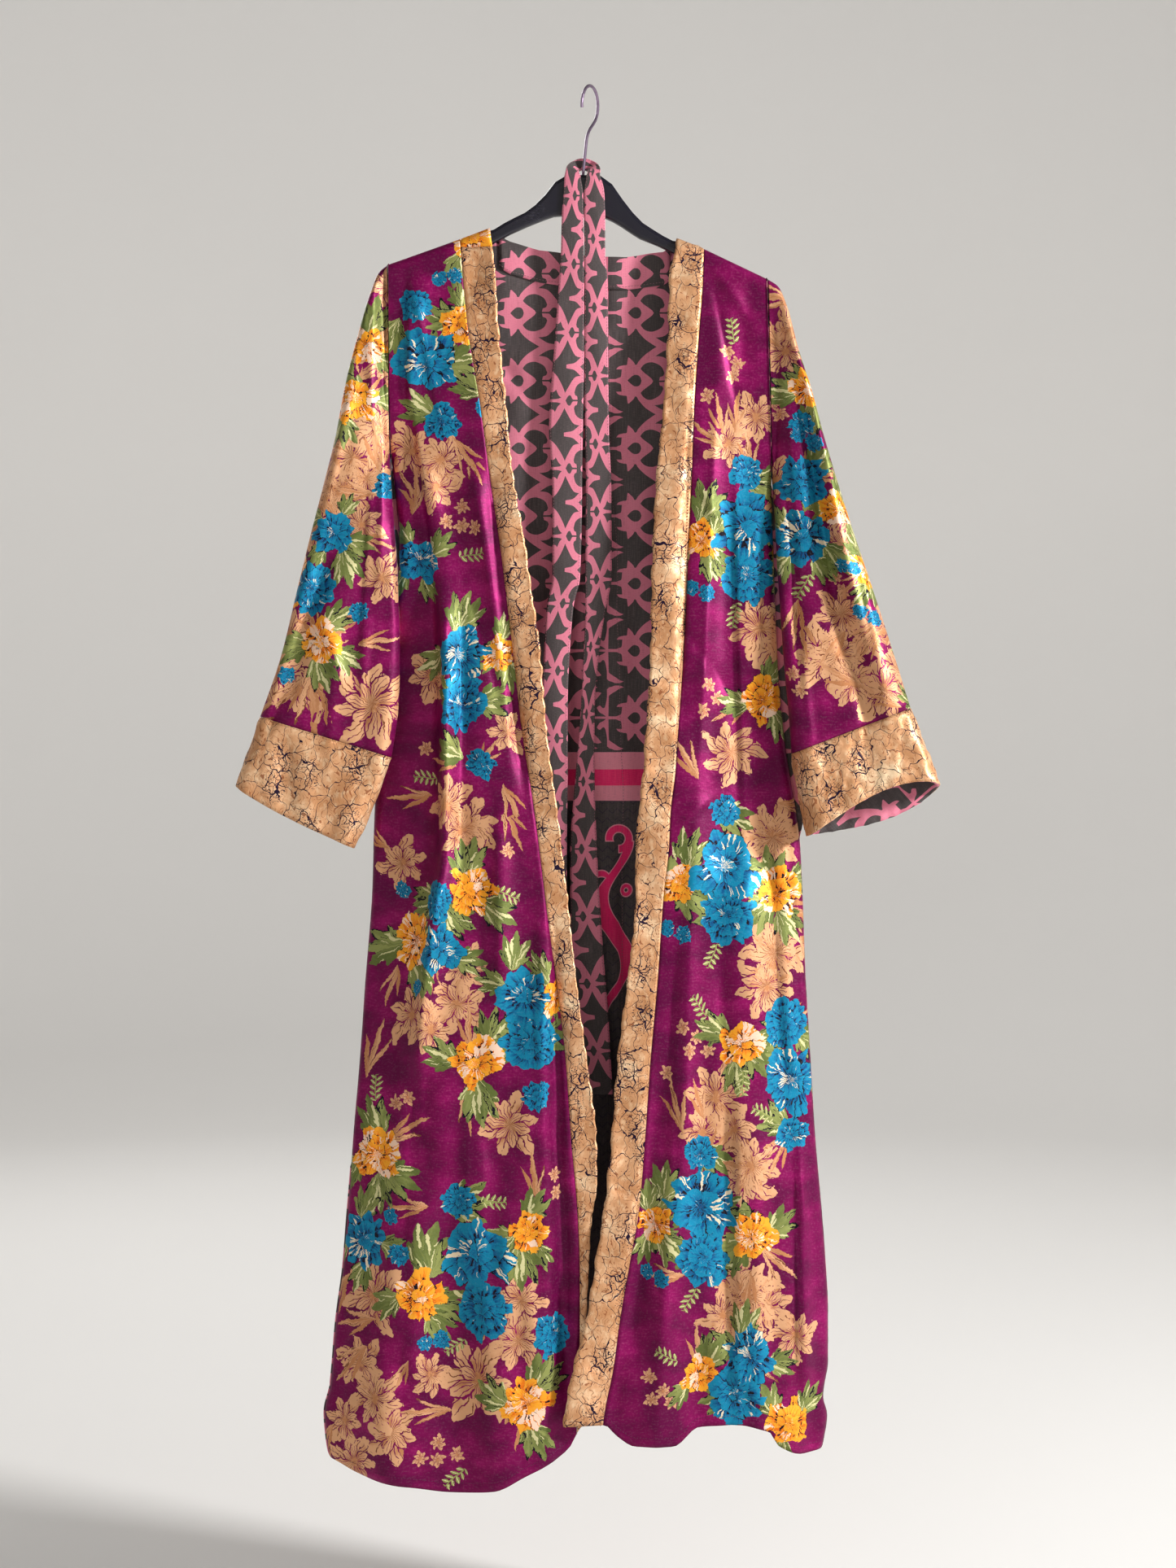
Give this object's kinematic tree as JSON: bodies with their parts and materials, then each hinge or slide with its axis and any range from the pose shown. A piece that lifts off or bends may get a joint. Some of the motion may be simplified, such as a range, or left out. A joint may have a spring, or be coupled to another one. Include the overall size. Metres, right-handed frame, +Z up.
{
  "type": "kimono robe on clothes hanger",
  "caption": "Open-front kimono robe in floral satin with contrast bands and cuffs, printed lining and a loose belt, on a plastic clothes hanger with a wire hook.",
  "frame": {"origin": "inner top of the hanger's hook, where a rail or peg carries it; Y = 0 is the middle plane of the hanger", "axes": "+Z up, -Y towards the open front, X across the shoulders with the wearer's left at +X"},
  "size_m": [0.723, 0.091, 1.4522],
  "materials": {
    "floral_satin": "magenta satin printed with flowers, glossy",
    "crackle_satin": "tan satin printed with dark branching cracks, glossy",
    "printed_lining": "matt woven lining printed with pink scrolls on charcoal",
    "hanger_plastic": "near black moulded plastic",
    "hook_steel": "plain drawn wire"
  },
  "bodies": {
    "root": {"hanger": "hanger_plastic", "hanger_hook": "hook_steel", "back": "floral_satin", "back_lining": "printed_lining", "neck_facing": "printed_lining", "neck_band": "floral_satin", "right_front": "floral_satin", "left_front": "floral_satin", "right_band_top": "floral_satin", "right_band": "crackle_satin", "left_band": "crackle_satin", "right_sleeve": "floral_satin", "left_sleeve": "floral_satin", "right_cuff": "crackle_satin", "left_cuff": "crackle_satin", "left_sleeve_lining": "printed_lining", "belt": "printed_lining"}
  },
  "joints": []
}
